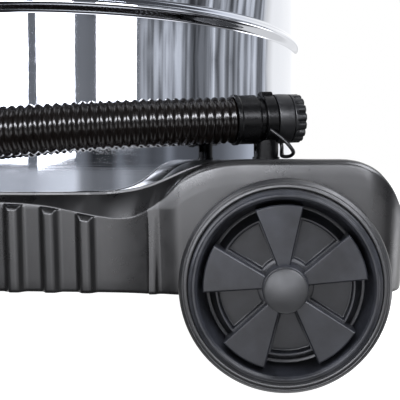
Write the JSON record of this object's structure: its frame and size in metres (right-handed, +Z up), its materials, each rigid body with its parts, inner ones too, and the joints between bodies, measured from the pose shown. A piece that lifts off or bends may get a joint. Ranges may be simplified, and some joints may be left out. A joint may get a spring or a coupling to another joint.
{
  "type": "shop vacuum",
  "caption": "Wet and dry shop vacuum: polished steel drum on a ribbed black wheeled base, corrugated drain hose with screw cap, lift-off motor head, latches, filter and float.",
  "frame": {"origin": "on the floor, under the centre of the vacuum's bounding box", "axes": "+Z up, +X towards the rear wheels, -X towards the front casters and the suction inlet, -Y towards the side the drain hose runs along"},
  "size_m": [0.583, 0.574, 0.864],
  "materials": {
    "black_plastic": "satin moulded",
    "wheel_plastic": "satin moulded",
    "hub_plastic": "satin moulded",
    "tyre_rubber": "satin rubber",
    "hose_plastic": "glossy extruded",
    "cuff_plastic": "satin moulded",
    "cap_plastic": "satin moulded",
    "stainless": "mirror polished",
    "zinc_steel": "zinc plated",
    "seal_rubber": "matt",
    "head_plastic": "satin moulded",
    "grip_plastic": "fine grained",
    "switch_plastic": "glossy",
    "latch_plastic": "satin moulded",
    "filter_paper": "pleated paper",
    "foam": "open cell",
    "motor_alloy": "pressed",
    "motor_iron": "varnished laminations",
    "float_plastic": "moulded"
  },
  "bodies": {
    "chassis": {"base": "black_plastic", "drum": "stainless", "drum_top": "stainless", "drum_bolts": "zinc_steel", "drain_spigot": "cuff_plastic", "drain_seal": "seal_rubber", "drain_nut": "cuff_plastic", "drain_hose": "hose_plastic", "hose_cuff": "cuff_plastic", "cap_collar": "cuff_plastic", "cap_strap": "cuff_plastic", "hose_post": "black_plastic", "rear_axle": "zinc_steel", "axle_washers": "zinc_steel", "axle_clips": "zinc_steel", "inlet_socket": "head_plastic", "inlet_gasket": "seal_rubber", "inlet_screws": "zinc_steel", "inlet_deflector": "head_plastic"},
    "left_wheel": {"left_rim": "wheel_plastic", "left_tyre": "tyre_rubber", "left_bush": "hub_plastic", "left_hub_cap": "hub_plastic"},
    "right_wheel": {"right_rim": "wheel_plastic", "right_tyre": "tyre_rubber", "right_bush": "hub_plastic", "right_hub_cap": "hub_plastic"},
    "left_caster": {"left_fork": "zinc_steel", "left_caster_pin": "zinc_steel"},
    "right_caster": {"right_fork": "zinc_steel", "right_caster_pin": "zinc_steel"},
    "left_roller": {"left_caster_wheel": "tyre_rubber"},
    "right_roller": {"right_caster_wheel": "tyre_rubber"},
    "head": {"head_pan": "head_plastic", "head_gasket": "seal_rubber", "head_cover": "head_plastic", "head_band": "head_plastic", "exhaust_foam": "foam", "top_handle": "grip_plastic", "switch_plate": "switch_plastic", "cable_gland": "head_plastic", "latch_pins": "zinc_steel", "motor_case": "motor_alloy", "motor_stator": "motor_iron", "filter_cage": "head_plastic", "filter_media": "filter_paper", "filter_ends": "seal_rubber", "filter_retainer": "head_plastic"},
    "rotor": {"motor_rotor": "motor_iron", "impeller": "motor_alloy"},
    "float": {"float_ball": "float_plastic"},
    "switch": {"rocker": "switch_plastic"},
    "left_clip": {"left_latch": "latch_plastic"},
    "right_clip": {"right_latch": "latch_plastic"},
    "cap_ring": {"tether_ring": "cap_plastic"},
    "cap": {"drain_cap": "cap_plastic", "cap_seal": "seal_rubber"}
  },
  "joints": [
    {"name": "left_wheel_spin", "type": "hinge", "parent": "chassis", "child": "left_wheel", "pos_m": [0.1915, -0.26, 0.0793], "axis": [0, 1, 0], "continuous": true},
    {"name": "left_caster_swivel", "type": "hinge", "parent": "chassis", "child": "left_caster", "pos_m": [-0.19, -0.115, 0.064], "axis": [0, 0, 1], "continuous": true},
    {"name": "left_caster_roll", "type": "hinge", "parent": "left_caster", "child": "left_roller", "pos_m": [-0.17, -0.115, 0.025], "axis": [0, 1, 0], "continuous": true},
    {"name": "right_wheel_spin", "type": "hinge", "parent": "chassis", "child": "right_wheel", "pos_m": [0.1915, 0.26, 0.0793], "axis": [0, 1, 0], "continuous": true},
    {"name": "right_caster_swivel", "type": "hinge", "parent": "chassis", "child": "right_caster", "pos_m": [-0.19, 0.115, 0.064], "axis": [0, 0, 1], "continuous": true},
    {"name": "right_caster_roll", "type": "hinge", "parent": "right_caster", "child": "right_roller", "pos_m": [-0.17, 0.115, 0.025], "axis": [0, 1, 0], "continuous": true},
    {"name": "head_lift", "type": "slide", "parent": "chassis", "child": "head", "axis": [0, 0, 1], "range_m": [0, 0.3]},
    {"name": "left_latch_swing", "type": "hinge", "parent": "head", "child": "left_clip", "pos_m": [-0.0165, -0.239, 0.69], "axis": [-1, 0, 0], "range_deg": [0, 130]},
    {"name": "right_latch_swing", "type": "hinge", "parent": "head", "child": "right_clip", "pos_m": [-0.0165, 0.239, 0.69], "axis": [1, 0, 0], "range_deg": [0, 130]},
    {"name": "switch_rock", "type": "hinge", "parent": "head", "child": "switch", "pos_m": [-0.1245, 0, 0.81], "axis": [1, 0, 0], "range_deg": [0, 12]},
    {"name": "motor_spin", "type": "hinge", "parent": "head", "child": "rotor", "pos_m": [-0.0165, 0, 0.7], "axis": [0, 0, 1], "continuous": true},
    {"name": "float_rise", "type": "slide", "parent": "head", "child": "float", "axis": [0, 0, 1], "range_m": [0, 0.12]},
    {"name": "cap_pull", "type": "slide", "parent": "chassis", "child": "cap_ring", "axis": [0.9347, 0.3519, 0.0495], "range_m": [0, 0.035]},
    {"name": "cap_turn", "type": "hinge", "parent": "cap_ring", "child": "cap", "pos_m": [0.155, -0.197, 0.206], "axis": [0.9347, 0.3519, 0.0495], "continuous": true}
  ],
  "couplings": [
    {"joint": "left_latch_swing", "follows": "head_lift", "rad_per_m": 7.5631},
    {"joint": "right_latch_swing", "follows": "head_lift", "rad_per_m": 7.5631}
  ]
}
